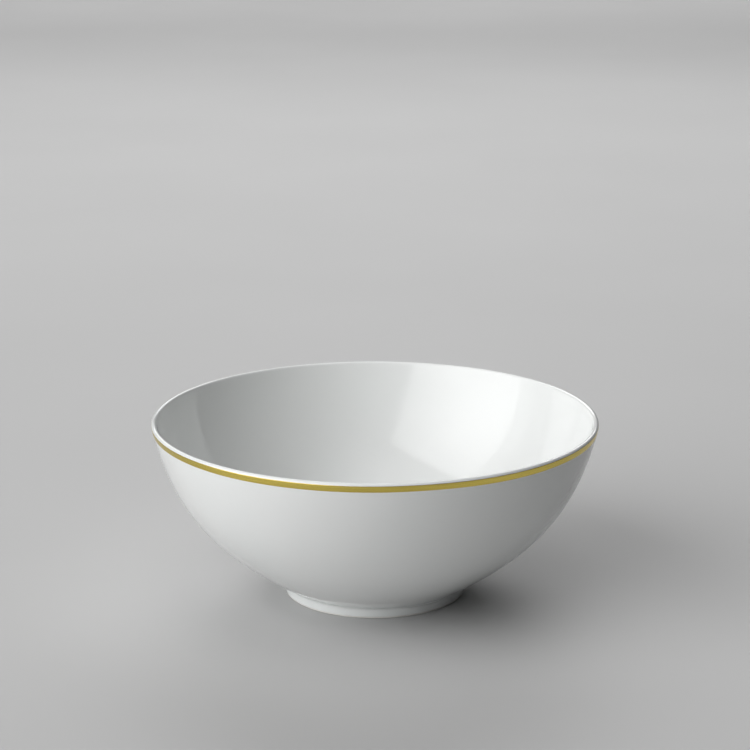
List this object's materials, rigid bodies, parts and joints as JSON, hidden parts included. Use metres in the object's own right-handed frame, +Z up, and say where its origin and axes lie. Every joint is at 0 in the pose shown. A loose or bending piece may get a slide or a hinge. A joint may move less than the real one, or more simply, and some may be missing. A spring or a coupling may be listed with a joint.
{
  "type": "serving bowl",
  "caption": "Round deep porcelain serving bowl with a fully rounded lip, a short foot ring and a thin gold line fired round the outside just under the rim.",
  "frame": {"origin": "centre of the foot's standing face, on the plane that the bowl rests on", "axes": "+Z up along the bowl's axis, out of its mouth; the bowl is round, so X and Y are free"},
  "size_m": [0.2302, 0.2302, 0.093],
  "materials": {
    "porcelain": "fired porcelain under the glaze",
    "bare_porcelain": "bare, finely ground standing edge",
    "white_glaze": "bright, smooth white glaze",
    "recess_glaze": "bright white glaze, a little uneven",
    "fired_gold": "fired gold, half bright"
  },
  "bodies": {
    "root": {"bowl_body": "porcelain", "foot_ring": "bare_porcelain", "glaze_coat": "white_glaze", "recess_glaze": "recess_glaze", "gold_band": "fired_gold"}
  },
  "joints": []
}
